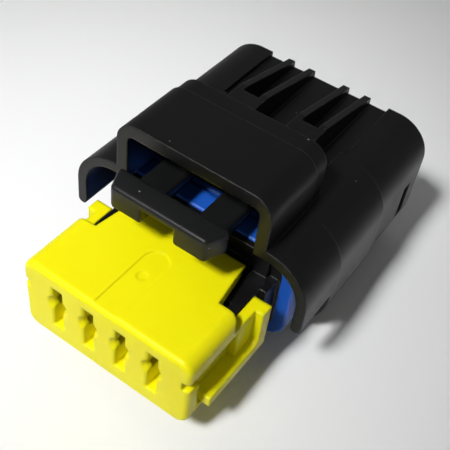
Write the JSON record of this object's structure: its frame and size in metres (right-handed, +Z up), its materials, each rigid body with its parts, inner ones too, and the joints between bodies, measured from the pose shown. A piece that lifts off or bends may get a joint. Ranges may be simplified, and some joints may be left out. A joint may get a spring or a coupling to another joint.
{
  "type": "sealed automotive connector",
  "caption": "Hooded plug housing with bridge-guarded latch, sliding secondary lock on the nose, lipped face seal, wire seal and snap-in rear cover.",
  "frame": {"origin": "centre of the bounding box at the level of the housing's base", "axes": "+X across the row of contacts, +Y from the mating face to the wire side, +Z up through the latch"},
  "size_m": [0.0296, 0.0412, 0.0244],
  "materials": {
    "housing": "fine grained black moulding",
    "latch": "fine grained black moulding",
    "secondary_lock": "satin yellow moulding",
    "face_seal": "blue silicone rubber",
    "wire_seal": "blue silicone rubber",
    "rear_cover": "fine grained black moulding",
    "contact": "rolled copper alloy sheet",
    "contact_sleeve": "spring steel sheet"
  },
  "bodies": {
    "housing_body": {"housing": "housing", "face_seal": "face_seal", "wire_seal": "wire_seal", "rear_cover": "rear_cover", "contact_1": "contact", "contact_2": "contact", "contact_3": "contact", "contact_4": "contact", "contact_sleeve_1": "contact_sleeve", "contact_sleeve_2": "contact_sleeve", "contact_sleeve_3": "contact_sleeve", "contact_sleeve_4": "contact_sleeve"},
    "latch_body": {"latch": "latch"},
    "lock_body": {"secondary_lock": "secondary_lock"}
  },
  "joints": [
    {"name": "latch_lift", "type": "hinge", "parent": "housing_body", "child": "latch_body", "pos_m": [0, 0.0056, 0.0188], "axis": [-1, 0, 0], "range_deg": [0, 7], "stiffness_Nm_per_rad": 0.02},
    {"name": "lock_slide", "type": "slide", "parent": "housing_body", "child": "lock_body", "axis": [0, 1, 0], "range_m": [0, 0.0009]}
  ]
}
